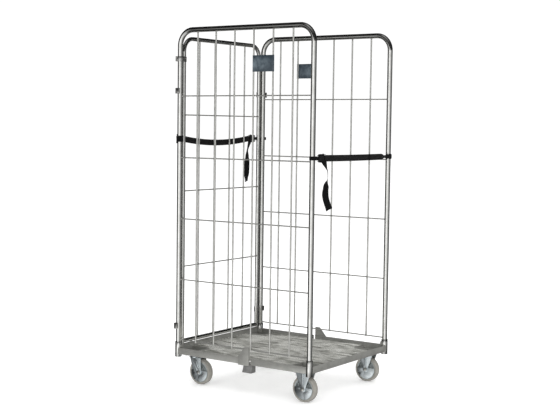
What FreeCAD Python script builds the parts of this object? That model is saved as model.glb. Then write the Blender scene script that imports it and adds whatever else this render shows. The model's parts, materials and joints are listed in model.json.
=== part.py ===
import FreeCAD, Part
import math
import os

# Roll cage container: two identical tube-and-wire side frames plugged into a steel base
# on castors, a rear gate hung on one side frame, and two buckled webbing straps.
# Millimetres. +Z is up, the open front faces -Y, the gate is at +Y, and the floor is Z = 0.

# ---- driving dimensions ----
WIDTH = 720.0                  # over the side frames' tubes, along X
DEPTH = 800.0                  # over the side frames' tubes, along Y
HEIGHT = 1750.0                # floor to the top of the side frames
POST_D = 25.4                  # side frame tube
POST_WALL = 1.5
POST_BEND_R = 75.0
GATE_D = 20.0                  # gate tube
GATE_WALL = 1.5
GATE_BEND_R = 65.0
GATE_TOP_Z = 1702.0            # centre line of the gate's top tube
GATE_BOTTOM_Z = 208.0          # centre line of the gate's bottom tube
GATE_INSET = 33.0              # gate posts stand this far inside the side frames' posts
GATE_SETBACK = 4.0             # and this far behind them
UPRIGHT_D = 8.0
CROSS_D = 6.0
CROSS_BOTTOM_Z = 220.0         # lowest cross wire of a side frame
CROSS_PITCH = 300.0
CROSS_COUNT = 5
UPRIGHT_COUNT = 6
GATE_UPRIGHT_COUNT = 4
GATE_CROSS_COUNT = 3
RAIL_BOTTOM = 150.0
RAIL_TOP = 182.0
REAR_RAIL_TOP = 193.0           # the rear rail stands taller, close under the gate
RAIL_LEG = 30.0                # horizontal leg of the rail angle
RAIL_T = 3.0
SOCKET_D = 32.0
SOCKET_FIT = 0.3               # radial gap between post and socket
SOCKET_BOTTOM = 136.0
SOCKET_TOP = 211.0
POST_BOTTOM = 145.0
PAN_INNER_X = 237.0            # inner edges of a corner pan
PAN_INNER_Y = 277.0
DECK_WIRE_D = 6.0
DECK_ACROSS_PITCH = 50.0
DECK_ALONG_PITCH = 25.0
WHEEL_D = 125.0
WHEEL_W = 32.0
AXLE_D = 10.0
AXLE_FIT = 0.05                # radial running gap
CASTOR_INSET = 62.0            # kingpin or fork centre from the corner post, along X and Y
TRAIL = 36.0                   # swivel castor: axle ahead of the kingpin
STRAP_W = 30.0
STRAP_T = 2.0
STRAP_FRONT_Z = 1136.0
STRAP_REAR_Z = 1212.0
STRAP_SAG = 20.0

# ---- derived places ----
V = FreeCAD.Vector
POST_R = POST_D / 2
POST_X = WIDTH / 2 - POST_R
POST_Y = DEPTH / 2 - POST_R
TOP_Z = HEIGHT - POST_R
RAIL_OUT_X = WIDTH / 2
RAIL_OUT_Y = DEPTH / 2
SOCKET_R = SOCKET_D / 2
GATE_R = GATE_D / 2
GATE_X = POST_X - GATE_INSET
GATE_Y = POST_Y + GATE_SETBACK
CASTOR_X = POST_X - CASTOR_INSET
CASTOR_Y = POST_Y - CASTOR_INSET + 1.0
AXLE_Z = WHEEL_D / 2
UP = V(0, 0, 1)
LEFT = -1
RIGHT = 1
FRONT = -1
REAR = 1


# ---- helpers ----
def box(x0, x1, y0, y1, z0, z1):
    return Part.makeBox(x1 - x0, y1 - y0, z1 - z0, V(x0, y0, z0))


def rod(start, end, radius):
    run = end - start
    return Part.makeCylinder(radius, run.Length, start, run)


def hexagon(centre, across_flats, height, axis):
    """A hex prism standing on centre along axis."""
    reach = across_flats / math.sqrt(3)
    side = V(0, 0, 1).cross(axis)
    if side.Length < 0.5:
        side = V(1, 0, 0)
    side.normalize()
    other = axis.cross(side)
    corners = []
    for step in range(7):
        angle = math.radians(60 * step)
        corners.append(centre + side * (reach * math.cos(angle)) + other * (reach * math.sin(angle)))
    return Part.Face(Part.makePolygon(corners)).extrude(axis * height)


def prism(points, direction):
    """A flat closed outline of corner points, pushed along direction."""
    return Part.Face(Part.makePolygon(points + [points[0]])).extrude(direction)


def pill_face(c1, r1, c2, r2):
    """The face bounded by two circles in a level plane and their outer tangents."""
    run = c2 - c1
    heading = math.atan2(run.y, run.x)
    spread = math.acos((r1 - r2) / run.Length)
    def at(centre, radius, angle):
        return centre + V(radius * math.cos(angle), radius * math.sin(angle), 0)
    a1 = at(c1, r1, heading + spread)
    a2 = at(c1, r1, heading - spread)
    b1 = at(c2, r2, heading + spread)
    b2 = at(c2, r2, heading - spread)
    edges = [
        Part.Arc(a1, at(c1, r1, heading + math.pi), a2).toShape(),
        Part.LineSegment(a2, b2).toShape(),
        Part.Arc(b2, at(c2, r2, heading), b1).toShape(),
        Part.LineSegment(b1, a1).toShape(),
    ]
    return Part.Face(Part.Wire(edges))


def ring_band(c1, r1, c2, r2, thickness, z0, height):
    """A closed band of even thickness round two upright circles."""
    low1 = V(c1.x, c1.y, z0)
    low2 = V(c2.x, c2.y, z0)
    outer = pill_face(low1, r1 + thickness, low2, r2 + thickness).extrude(UP * height)
    inner = pill_face(low1, r1, low2, r2).extrude(UP * height)
    return outer.cut(inner)


def arch(half_span, foot_z, top_z, bend_r, radius):
    """A solid bar bent to an inverted U in the YZ plane, with its feet at foot_z."""
    y = half_span
    lean = bend_r * (1 - math.sqrt(0.5))
    edges = [
        Part.LineSegment(V(0, -y, foot_z), V(0, -y, top_z - bend_r)).toShape(),
        Part.Arc(V(0, -y, top_z - bend_r), V(0, -y + lean, top_z - lean),
                 V(0, -y + bend_r, top_z)).toShape(),
        Part.LineSegment(V(0, -y + bend_r, top_z), V(0, y - bend_r, top_z)).toShape(),
        Part.Arc(V(0, y - bend_r, top_z), V(0, y - lean, top_z - lean),
                 V(0, y, top_z - bend_r)).toShape(),
        Part.LineSegment(V(0, y, top_z - bend_r), V(0, y, foot_z)).toShape(),
    ]
    section = Part.Wire([Part.Circle(V(0, -y, foot_z), UP, radius).toShape()])
    return Part.Wire(edges).makePipeShell([section], True, False)


def half_turn(shape):
    turned = shape.copy()
    turned.rotate(V(0, 0, 0), UP, 180)
    return turned


def mirrored(shape):
    return shape.mirror(V(0, 0, 0), V(1, 0, 0))


def at_corners(make):
    """One solid per base corner, made by make(x side, y side)."""
    return [make(sx, sy) for sx in (LEFT, RIGHT) for sy in (FRONT, REAR)]


def save(name, shape):
    if isinstance(shape, list):
        shape = Part.makeCompound(shape)
    for solid in shape.Solids:
        if not solid.isValid():
            print("INVALID", name)
    if not shape.Solids:
        print("EMPTY", name)
    shape.exportStep("parts/" + name + ".step")


# ---- base ----
def corner_socket(sx, sy):
    low = V(sx * POST_X, sy * POST_Y, SOCKET_BOTTOM)
    high = V(low.x, low.y, SOCKET_TOP)
    return rod(low, high, SOCKET_R).cut(rod(low, high, POST_R + SOCKET_FIT))


def socket_stop(sx, sy):
    """The disc that a post stands on, with a drain hole."""
    top = POST_BOTTOM - SOCKET_FIT
    low = V(sx * POST_X, sy * POST_Y, top - 4)
    high = V(low.x, low.y, top)
    return rod(low, high, POST_R + SOCKET_FIT).cut(rod(low, high, 4))


def socket_cores():
    """Solid cylinders where the sockets stand, for coping what meets them."""
    cores = []
    for sx in (LEFT, RIGHT):
        for sy in (FRONT, REAR):
            low = V(sx * POST_X, sy * POST_Y, SOCKET_BOTTOM)
            cores.append(rod(low, V(low.x, low.y, SOCKET_TOP), SOCKET_R))
    return Part.makeCompound(cores)


def socket_gusset(sx, sy):
    """A sloping web between a socket and the corner pan."""
    foot = RAIL_BOTTOM + RAIL_T
    reach = 30.0
    points = [V(0, -1.5, foot), V(reach, -1.5, foot), V(reach, -1.5, foot + 12),
              V(SOCKET_R + 4, -1.5, SOCKET_TOP - 8), V(0, -1.5, SOCKET_TOP - 8)]
    web = prism(points, V(0, 3, 0))
    web.rotate(V(0, 0, 0), UP, math.degrees(math.atan2(-sy, -sx)))
    web.translate(V(sx * POST_X, sy * POST_Y, 0))
    return web


def end_rail(sy):
    """Angle rail along X: upright leg outside, level leg inside at the bottom."""
    x = POST_X
    outer = RAIL_OUT_Y
    top = RAIL_TOP if sy == FRONT else REAR_RAIL_TOP
    leg = box(-x, x, outer - RAIL_T, outer, RAIL_BOTTOM, top)
    foot = box(-x, x, outer - RAIL_LEG, outer - RAIL_T, RAIL_BOTTOM, RAIL_BOTTOM + RAIL_T)
    rail = leg.fuse(foot).removeSplitter()
    if sy == FRONT:
        rail = half_turn(rail)
    return rail


SLOT_Y = -60.0                 # middle of the slot in the left rail
SLOT_W = 8.0
RIGHT_SHIFT = -18.0            # the right rail's slot, tongue and pocket stand this far nearer the front


def left_rail_half(y0, y1):
    outer = -RAIL_OUT_X
    leg = box(outer, outer + RAIL_T, y0, y1, RAIL_BOTTOM, RAIL_TOP)
    inner_end = RAIL_OUT_Y - RAIL_LEG
    foot = box(outer + RAIL_T, outer + RAIL_LEG, max(y0, -inner_end), min(y1, inner_end),
               RAIL_BOTTOM, RAIL_BOTTOM + RAIL_T)
    return leg.fuse(foot).removeSplitter()


def split_rail(slot_y):
    """The left rail in two lengths, with the slot between them."""
    return [left_rail_half(-POST_Y, slot_y - SLOT_W / 2), left_rail_half(slot_y + SLOT_W / 2, POST_Y)]


PAN_LIP_TOP = RAIL_TOP - 8.0


def corner_pan(sx, sy):
    """The sunk plate over a castor, with upright lips on its two inner sides."""
    x1 = RAIL_OUT_X - RAIL_LEG
    y1 = RAIL_OUT_Y - RAIL_LEG
    plate = box(PAN_INNER_X, x1, PAN_INNER_Y, y1, RAIL_BOTTOM, RAIL_BOTTOM + RAIL_T)
    lip_x = box(PAN_INNER_X, PAN_INNER_X + RAIL_T, PAN_INNER_Y, y1, RAIL_BOTTOM, PAN_LIP_TOP)
    lip_y = box(PAN_INNER_X, x1, PAN_INNER_Y, PAN_INNER_Y + RAIL_T, RAIL_BOTTOM, PAN_LIP_TOP)
    pan = plate.fuse([lip_x, lip_y]).removeSplitter()
    if sx == LEFT:
        pan = pan.mirror(V(0, 0, 0), V(1, 0, 0))
    if sy == FRONT:
        pan = pan.mirror(V(0, 0, 0), V(0, 1, 0))
    return pan.cut(bolt_holes(sx, sy))


BOLT_PITCH_X = 62.0
BOLT_PITCH_Y = 75.0
BOLT_R = 4.0


def bolt_places(sx, sy):
    for ex in (-0.5, 0.5):
        for ey in (-0.5, 0.5):
            yield V(sx * CASTOR_X + ex * BOLT_PITCH_X, sy * CASTOR_Y + ey * BOLT_PITCH_Y, 0)


def bolt_holes(sx, sy):
    holes = []
    for place in bolt_places(sx, sy):
        holes.append(rod(place + UP * (RAIL_BOTTOM - 20), place + UP * (RAIL_BOTTOM + 20), BOLT_R + 0.3))
    return Part.makeCompound(holes)


def castor_bolts():
    """Hex bolts down through the pans and the castor plates."""
    bolts = []
    seat = RAIL_BOTTOM + RAIL_T
    for sx in (LEFT, RIGHT):
        for sy in (FRONT, REAR):
            for place in bolt_places(sx, sy):
                head = hexagon(place + UP * seat, 13, 5.3, UP)
                shank = rod(place + UP * (RAIL_BOTTOM - 12), place + UP * seat, BOLT_R)
                bolts.append(head.fuse(shank))
    return bolts


def castor_nuts():
    nuts = []
    top = RAIL_BOTTOM - PLATE_T
    for sx in (LEFT, RIGHT):
        for sy in (FRONT, REAR):
            for place in bolt_places(sx, sy):
                body = hexagon(place + UP * (top - 6.5), 13, 6.5, UP)
                bore = rod(place + UP * (top - 7), place + UP * (top + 1), BOLT_R)
                nuts.append(body.cut(bore))
    return nuts


DECK_ALONG_Z = 166.0
DECK_ACROSS_Z = DECK_ALONG_Z - DECK_WIRE_D


def deck_wires_across():
    """Wires along X under the wires along Y; beside the corner pans they stop at the pans' lips."""
    wires = []
    inner = RAIL_OUT_X - RAIL_T
    for step in range(-7, 8):
        y = step * DECK_ACROSS_PITCH
        reach = inner
        if abs(y) > PAN_INNER_Y - DECK_WIRE_D:
            reach = PAN_INNER_X
        wires.append(rod(V(-reach, y, DECK_ACROSS_Z), V(reach, y, DECK_ACROSS_Z), DECK_WIRE_D / 2))
    return wires


def deck_wires_along():
    """The close wires along Y, on top; in front of the corner pans they stop at the pans' lips."""
    wires = []
    inner = RAIL_OUT_Y - RAIL_T
    for step in range(-13, 14):
        x = step * DECK_ALONG_PITCH
        reach = inner
        if abs(x) > PAN_INNER_X:
            reach = PAN_INNER_Y
        wires.append(rod(V(x, -reach, DECK_ALONG_Z), V(x, reach, DECK_ALONG_Z), DECK_WIRE_D / 2))
    return wires


def deck_bearers():
    """Two bars laid across the base, up against the close wires."""
    inner = RAIL_OUT_X - RAIL_T
    top = DECK_ALONG_Z - DECK_WIRE_D / 2
    return [box(-inner, inner, y - 10, y + 10, RAIL_BOTTOM + RAIL_T, top) for y in (-125.0, 125.0)]


TONGUE_T = 3.0
TONGUE_TOP = 236.0
RIGHT_TONGUE_TOP = 226.0
FOLD_W = 8.0                   # folded edges, clear of the side frame's wires


def left_tongue(tip):
    """Stacking tongue on the left rail: a tapered plate with two folded edges."""
    out = -RAIL_OUT_X - TONGUE_T
    foot_y0, foot_y1 = SLOT_Y + 6, SLOT_Y + 68
    top_y1 = SLOT_Y + 31
    shoulder = RAIL_TOP + 3
    face = [V(out, foot_y0, RAIL_BOTTOM - 5), V(out, foot_y1, RAIL_BOTTOM - 5), V(out, foot_y1, shoulder),
            V(out, top_y1, tip), V(out, foot_y0, tip)]
    plate = prism(face, V(TONGUE_T, 0, 0))
    fold = box(out, out + FOLD_W, foot_y0, foot_y0 + TONGUE_T, RAIL_TOP, tip - 2)
    slope = [V(out, foot_y1, shoulder), V(out, top_y1, tip),
             V(out, top_y1 - TONGUE_T, tip), V(out, foot_y1 - TONGUE_T, shoulder)]
    lip = prism(slope, V(FOLD_W, 0, 0))
    return plate.fuse([fold, lip]).removeSplitter()


def left_pocket():
    """Stacking pocket under the left rail: open below, its outer wall flared."""
    y0, y1 = SLOT_Y - 14, SLOT_Y + 38
    top, bottom, wall = RAIL_BOTTOM, 113.0, 3.0
    inner_x = -332.0
    outer = [V(inner_x, y0, top), V(-358, y0, top), V(-370, y0, bottom), V(inner_x, y0, bottom)]
    hollow = [V(inner_x - wall, y0 + wall, top - wall), V(-355.5, y0 + wall, top - wall),
              V(-367.3, y0 + wall, bottom - 1), V(inner_x - wall, y0 + wall, bottom - 1)]
    return prism(outer, V(0, y1 - y0, 0)).cut(prism(hollow, V(0, y1 - y0 - 2 * wall, 0)))


# ---- castors, built about their own centre and then moved ----
PLATE_T = 3.0
PLATE_X = 80.0
PLATE_Y = 95.0
FORK_GAP = 20.0                # wheel centre to the inside of a fork leg
FORK_T = 3.0
CROWN_Z = 131.0
RACE_R = 28.0
RACE_BORE = 15.0
BALL_R = 3.2
BALL_RING_R = 21.5
BALL_COUNT = 14
KINGPIN_R = 6.0


def castor_plate():
    top = RAIL_BOTTOM
    plate = box(-PLATE_X / 2, PLATE_X / 2, -PLATE_Y / 2, PLATE_Y / 2, top - PLATE_T, top)
    corners = [edge for edge in plate.Edges if abs(edge.tangentAt(edge.FirstParameter).z) > 0.99]
    plate = plate.makeFillet(8, corners)
    for place in bolt_places(0, 0):
        plate = plate.cut(rod(place + UP * (top - 10), place + UP * (top + 1), BOLT_R + 0.3))
    return plate


def fork_leg(x, y_axle, y_back, y_front, z_top, heel):
    """One leg, tapering to a round boss at the axle. heel widens it there, towards the kingpin."""
    boss = 14.0
    step = FORK_T
    low_heel = boss * 0.8 + heel * 0.5
    outline = [V(x, y_back, z_top), V(x, y_front, z_top), V(x, y_axle + boss + heel, AXLE_Z + 6),
               V(x, y_axle + low_heel, AXLE_Z - boss * 0.6), V(x, y_axle - boss * 0.8, AXLE_Z - boss * 0.6),
               V(x, y_axle - boss, AXLE_Z + 6)]
    leg = prism(outline, V(step, 0, 0))
    round_end = rod(V(x, y_axle, AXLE_Z), V(x + step, y_axle, AXLE_Z), boss)
    return leg.fuse(round_end).removeSplitter()


def leg_rib(x, side, y_top, y_axle, z_top):
    """The half-round stiffening rib pressed up the outside of a leg."""
    face = x + FORK_T / 2 + side * FORK_T / 2
    bar = rod(V(face, y_axle, AXLE_Z + 20), V(face, y_top, z_top), 5.0)
    if side > 0:
        keep = box(face - 1, face + 6, -200, 200, 0, z_top)
    else:
        keep = box(face - 6, face + 1, -200, 200, 0, z_top)
    return bar.common(keep)


def fork_legs(y_axle, y_back, y_front, z_top, heel=0.0):
    pieces = []
    for side in (-1, 1):
        x = side * (FORK_GAP + FORK_T / 2) - FORK_T / 2
        pieces.append(fork_leg(x, y_axle, y_back, y_front, z_top, heel))
        pieces.append(leg_rib(x, side, (y_back + y_front) / 2, y_axle, z_top))
    return pieces


def axle_hole(y_axle):
    return rod(V(-60, y_axle, AXLE_Z), V(60, y_axle, AXLE_Z), AXLE_D / 2)


def rigid_fork():
    """Fixed castor: top plate and two splayed legs in one pressing."""
    legs = fork_legs(0.0, -44.0, 44.0, RAIL_BOTTOM - PLATE_T)
    body = castor_plate().fuse(legs).removeSplitter()
    return body.cut(axle_hole(0.0))


def swivel_plate():
    """Swivel castor: top plate with the upper ball race under it."""
    top = RAIL_BOTTOM - PLATE_T
    race = rod(V(0, 0, top - 4.4), V(0, 0, top), RACE_R).cut(rod(V(0, 0, top - 5), V(0, 0, top), RACE_BORE))
    body = castor_plate().fuse(race).removeSplitter()
    return body.cut(rod(V(0, 0, 100), V(0, 0, 200), KINGPIN_R))


def kingpin():
    """Rivet through both races, with its closing head below the fork's crown."""
    pin = rod(V(0, 0, CROWN_Z - 7), V(0, 0, RAIL_BOTTOM), KINGPIN_R)
    head = rod(V(0, 0, CROWN_Z - 7), V(0, 0, CROWN_Z - 1), KINGPIN_R + 4.5)
    return pin.fuse(head).removeSplitter()


def race_balls():
    """The ring of bearing balls between the two races."""
    balls = []
    for step in range(BALL_COUNT):
        angle = 2 * math.pi * step / BALL_COUNT
        centre = V(BALL_RING_R * math.cos(angle), BALL_RING_R * math.sin(angle), CROWN_Z + 4.9 + BALL_R)
        balls.append(Part.makeSphere(BALL_R, centre))
    return balls


def swivel_fork():
    """Swivel castor: crown with the lower race, and two trailing legs."""
    legs = fork_legs(-TRAIL, -48.0, 18.0, CROWN_Z, 20.0)
    crown = box(-FORK_GAP - FORK_T, FORK_GAP + FORK_T, -48, 24, CROWN_Z, CROWN_Z + 3)
    race = rod(V(0, 0, CROWN_Z), V(0, 0, CROWN_Z + 4.9), RACE_R)
    body = crown.fuse(legs + [race]).removeSplitter()
    body = body.cut(rod(V(0, 0, 90), V(0, 0, 200), KINGPIN_R + AXLE_FIT))
    return body.cut(axle_hole(-TRAIL))


def axle_bolt(y_axle):
    """Axle bolt with its head outside one leg and its nut outside the other."""
    out = FORK_GAP + FORK_T
    shank = rod(V(-out, y_axle, AXLE_Z), V(out + 10, y_axle, AXLE_Z), AXLE_D / 2)
    head = hexagon(V(-out, y_axle, AXLE_Z), 16, 6, V(-1, 0, 0))
    nut = hexagon(V(out, y_axle, AXLE_Z), 16, 8, V(1, 0, 0))
    nut = nut.cut(rod(V(out - 1, y_axle, AXLE_Z), V(out + 9, y_axle, AXLE_Z), AXLE_D / 2))
    return [head.fuse(shank).removeSplitter(), nut]


def turned(profile):
    """Solid of revolution about X from (x, radius) corners."""
    points = [V(x, 0, r) for x, r in profile]
    face = Part.Face(Part.makePolygon(points + [points[0]]))
    return face.revolve(V(0, 0, 0), V(1, 0, 0), 360)


RIM_R = 51.0
HUB_HALF = 16.5                # half the hub's length, leaving room for the guards
GUARD_R = 49.0
GUARD_T = 1.5
GUARD_X = FORK_GAP - 1.2       # outer face of a guard, from the wheel's middle
GUARD_TOP = 8.0                # the guard ends this far above the axle, but for a disc round it


def wheel_guards(y_axle):
    """A thin disc each side of the wheel, held by the axle bolt and open at the top."""
    opening = box(-60, 60, -80, 80, GUARD_TOP, 80).cut(rod(V(-60, 0, 0), V(60, 0, 0), 14))
    guards = []
    for outer in (-GUARD_X, GUARD_X - GUARD_T):
        disc = rod(V(outer, 0, 0), V(outer + GUARD_T, 0, 0), GUARD_R).cut(opening)
        disc = disc.cut(rod(V(-60, 0, 0), V(60, 0, 0), AXLE_D / 2))
        guards.append(placed(disc, 0, y_axle, AXLE_Z))
    return guards


def wheel_tread():
    half = WHEEL_W / 2
    outer = WHEEL_D / 2
    crown = [(-half, RIM_R), (-half, outer - 5), (-half + 1.5, outer - 2), (-half + 5, outer),
             (half - 5, outer), (half - 1.5, outer - 2), (half, outer - 5), (half, RIM_R)]
    return turned(crown)


def wheel_core():
    """Moulded centre: rim, thin web, hub and ribs."""
    half = WHEEL_W / 2
    hub = HUB_HALF
    hub_r = 15.0
    rim_r = RIM_R - 5
    web = 4.0
    bore = AXLE_D / 2 + AXLE_FIT
    body = turned([(-hub, bore), (-hub, hub_r), (-web, hub_r + 2), (-web, rim_r - 2), (-half + 1, rim_r),
                   (-half, RIM_R), (half, RIM_R), (half - 1, rim_r), (web, rim_r - 2), (web, hub_r + 2),
                   (hub, hub_r), (hub, bore)])
    ribs = []
    for step in range(8):
        rib = box(-half + 4, half - 4, -1.5, 1.5, hub_r - 1, rim_r - 1)
        rib.rotate(V(0, 0, 0), V(1, 0, 0), 45 * step)
        ribs.append(rib)
    return body.fuse(ribs).removeSplitter()


def placed(shape, x, y, z=0.0):
    if isinstance(shape, list):
        return [placed(item, x, y, z) for item in shape]
    moved = shape.copy()
    moved.translate(V(x, y, z))
    return moved


# ---- side frames: made at the left, and turned half round for the right ----
def side_arch(radius):
    bar = arch(POST_Y, POST_BOTTOM, TOP_Z, POST_BEND_R, radius)
    bar.translate(V(-POST_X, 0, 0))
    return bar


def side_uprights(solid_arch):
    """Wires from the top tube down to the lowest cross wire, on the outer side."""
    x = -POST_X - CROSS_D / 2
    pitch = 2 * POST_Y / (UPRIGHT_COUNT + 1)
    foot = CROSS_BOTTOM_Z - CROSS_D / 2 - 2
    wires = []
    for step in range(UPRIGHT_COUNT):
        y = -POST_Y + pitch * (step + 1)
        wires.append(rod(V(x, y, foot), V(x, y, TOP_Z), UPRIGHT_D / 2).cut(solid_arch))
    return wires


def side_cross_wires(solid_arch):
    x = -POST_X + UPRIGHT_D / 2
    wires = []
    for step in range(CROSS_COUNT):
        z = CROSS_BOTTOM_Z + CROSS_PITCH * step
        wires.append(rod(V(x, -POST_Y, z), V(x, POST_Y, z), CROSS_D / 2).cut(solid_arch))
    return wires


LABEL_Z0 = 1530.0
LABEL_H = 76.0


def label_plate():
    """Blank sheet plate rolled round two neighbouring uprights."""
    pitch = 2 * POST_Y / (UPRIGHT_COUNT + 1)
    wire_x = -POST_X - CROSS_D / 2
    inner_r = UPRIGHT_D / 2 + 0.1
    outer_r = inner_r + 1.0
    near_y = -pitch / 2
    far_y = -pitch * 1.5
    sheet = box(wire_x - outer_r, wire_x - inner_r, far_y, near_y, LABEL_Z0, LABEL_Z0 + LABEL_H)
    pieces = []
    for y, side in ((near_y, 1), (far_y, -1)):
        low = V(wire_x, y, LABEL_Z0)
        high = V(wire_x, y, LABEL_Z0 + LABEL_H)
        roll = rod(low, high, outer_r).cut(rod(low, high, inner_r))
        if side > 0:
            keep = box(wire_x - 10, wire_x + 10, y, y + 10, LABEL_Z0, LABEL_Z0 + LABEL_H)
        else:
            keep = box(wire_x - 10, wire_x + 10, y - 10, y, LABEL_Z0, LABEL_Z0 + LABEL_H)
        pieces.append(roll.common(keep))
    return sheet.fuse(pieces).removeSplitter()


# ---- rear gate ----
def gate_arch(radius):
    bar = arch(GATE_X, GATE_BOTTOM_Z - GATE_R, GATE_TOP_Z, GATE_BEND_R, radius)
    bar.rotate(V(0, 0, 0), UP, 90)
    bar.translate(V(0, GATE_Y, 0))
    return bar


def gate_bottom_tube(solid_arch):
    left = V(-GATE_X, GATE_Y, GATE_BOTTOM_Z)
    right = V(GATE_X, GATE_Y, GATE_BOTTOM_Z)
    bar = rod(left, right, GATE_R).cut(solid_arch)
    return bar.cut(rod(left, right, GATE_R - GATE_WALL))


def gate_uprights(solid_arch):
    """Wires from the gate's top tube to its bottom tube, on the outer side."""
    y = GATE_Y + CROSS_D / 2
    pitch = 2 * GATE_X / (GATE_UPRIGHT_COUNT + 1)
    left = V(-GATE_X, GATE_Y, GATE_BOTTOM_Z)
    bottom = rod(left, V(GATE_X, GATE_Y, GATE_BOTTOM_Z), GATE_R)
    wires = []
    for step in range(GATE_UPRIGHT_COUNT):
        x = -GATE_X + pitch * (step + 1)
        wire = rod(V(x, y, GATE_BOTTOM_Z), V(x, y, GATE_TOP_Z), UPRIGHT_D / 2)
        wires.append(wire.cut(solid_arch).cut(bottom))
    return wires


def gate_cross_wires(solid_arch):
    y = GATE_Y - UPRIGHT_D / 2
    pitch = (GATE_TOP_Z - GATE_BOTTOM_Z) / (GATE_CROSS_COUNT + 1)
    wires = []
    for step in range(GATE_CROSS_COUNT):
        z = GATE_BOTTOM_Z + pitch * (step + 1)
        wires.append(rod(V(-GATE_X, y, z), V(GATE_X, y, z), CROSS_D / 2).cut(solid_arch))
    return wires


HOOK_ZS = (290.0, 1445.0)
HOOK_H = 27.0
HOOK_T = 3.0
HOOK_REACH = 23.0              # post centre to the outside of the hook's end leg
HOOK_TIP_Y = 10.0              # the leg ends this far ahead of the post centre


def left_gate_hook(z):
    """Flat strip from the gate post, behind the left rear post and round its outer side."""
    back = GATE_Y + GATE_R
    bend = 11.0
    out = -POST_X - HOOK_REACH
    lean = bend * (1 - math.sqrt(0.5))
    tip = POST_Y - HOOK_TIP_Y
    z0 = z - HOOK_H / 2
    inner_bend = bend - HOOK_T
    inner_lean = inner_bend * (1 - math.sqrt(0.5))
    outer_y = back + HOOK_T
    inner_x = out + HOOK_T
    weld_x = -GATE_X + 4
    edges = [
        Part.LineSegment(V(weld_x, back, z0), V(weld_x, outer_y, z0)).toShape(),
        Part.LineSegment(V(weld_x, outer_y, z0), V(out + bend, outer_y, z0)).toShape(),
        Part.Arc(V(out + bend, outer_y, z0), V(out + lean, outer_y - lean, z0),
                 V(out, outer_y - bend, z0)).toShape(),
        Part.LineSegment(V(out, outer_y - bend, z0), V(out, tip, z0)).toShape(),
        Part.LineSegment(V(out, tip, z0), V(inner_x, tip, z0)).toShape(),
        Part.LineSegment(V(inner_x, tip, z0), V(inner_x, outer_y - bend, z0)).toShape(),
        Part.Arc(V(inner_x, outer_y - bend, z0), V(inner_x + inner_lean, back - inner_lean, z0),
                 V(out + bend, back, z0)).toShape(),
        Part.LineSegment(V(out + bend, back, z0), V(weld_x, back, z0)).toShape(),
    ]
    return Part.Face(Part.Wire(edges)).extrude(UP * HOOK_H)


def gate_hooks():
    hooks = [left_gate_hook(z) for z in HOOK_ZS]
    return hooks + [mirrored(hook) for hook in hooks]


CLIP_Z = 1587.0
CLIP_H = 25.0


def hinge_clip():
    """Band that ties the gate post to the left rear post and turns on it."""
    post = V(-POST_X, POST_Y, 0)
    gate = V(-GATE_X, GATE_Y, 0)
    band = ring_band(post, POST_R + SOCKET_FIT, gate, GATE_R, 2.5, CLIP_Z, CLIP_H)
    ear = box(POST_R + 2.0, POST_R + 11.0, -3, 3, CLIP_Z, CLIP_Z + CLIP_H)
    ear.rotate(V(0, 0, 0), UP, 149)
    ear.translate(post)
    rivet = rod(V(POST_R + 6.5, -5.5, CLIP_Z + CLIP_H / 2), V(POST_R + 6.5, 5.5, CLIP_Z + CLIP_H / 2), 3)
    rivet.rotate(V(0, 0, 0), UP, 149)
    rivet.translate(post)
    core = rod(V(-POST_X, POST_Y, CLIP_Z), V(-POST_X, POST_Y, CLIP_Z + CLIP_H), POST_R + SOCKET_FIT)
    return band.fuse([ear, rivet]).removeSplitter().cut(core)


# ---- straps: the buckle and the end hook are made for the front, and turned for the rear ----
RUN_Y = -402.6                 # middle of the webbing across the opening
BUCKLE_X0 = -327.0
BUCKLE_X1 = -276.0
BUCKLE_H = 39.0
BUCKLE_T = 2.0
BUCKLE_BACK = RUN_Y + 4.5      # inner face of the buckle's back plate
BUCKLE_OUT = RUN_Y - 10.5      # outer edge of its ears
LOOP_BAR_X = BUCKLE_X0 + 5.0   # bar that the loop or the post hook holds
LOOP_BAR_R = 2.3
PIN_X = BUCKLE_X1 - 15.0
PIN_Y = RUN_Y - 5.7
BAR_Y = PIN_Y + 2.0
PIN_R = 2.5
CAM_R = 4.3
LEVER_OUT = RUN_Y - 11.5
RING_FIT = 3.8                 # radial gap between post and the rear strap's ring
RING_LENGTHS = 12
HOOK_FIT = 1.9                 # radial gap between post and end hook
END_HOOK_T = 3.0
HOOK_LEG = 12.0                # straight end of the hook, past the post centre
BUCKLE_GRIP = 38.0             # webbing inside the buckle
SHANK_L = 52.0                 # end hook: post centre to the webbing's eye
EYE_L = 6.0
REAR_BUCKLE_SHIFT = -26.0      # the rear buckle stands further from its post, clear of the gate post


def strap_loop(z):
    """Webbing loop round the left front post, closed on the buckle's bar."""
    post = V(-POST_X, -POST_Y, 0)
    bar = V(LOOP_BAR_X, BAR_Y, 0)
    return ring_band(post, POST_R + 0.1, bar, LOOP_BAR_R + 0.1, STRAP_T, z - 9, 18)


def strap_run(z, x0, x1, sag):
    """The taut or sagging band of webbing at RUN_Y, from x0 to x1."""
    y0 = RUN_Y - STRAP_T / 2
    half = STRAP_W / 2
    if sag == 0:
        return box(x0, x1, y0, y0 + STRAP_T, z - half, z + half)
    middle = (x0 + x1) / 2
    edges = [
        Part.Arc(V(x0, y0, z - half), V(middle, y0, z - half - sag), V(x1, y0, z - half)).toShape(),
        Part.LineSegment(V(x1, y0, z - half), V(x1, y0, z + half)).toShape(),
        Part.Arc(V(x1, y0, z + half), V(middle, y0, z + half - sag), V(x0, y0, z + half)).toShape(),
        Part.LineSegment(V(x0, y0, z + half), V(x0, y0, z - half)).toShape(),
    ]
    return Part.Face(Part.Wire(edges)).extrude(V(0, STRAP_T, 0))


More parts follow.
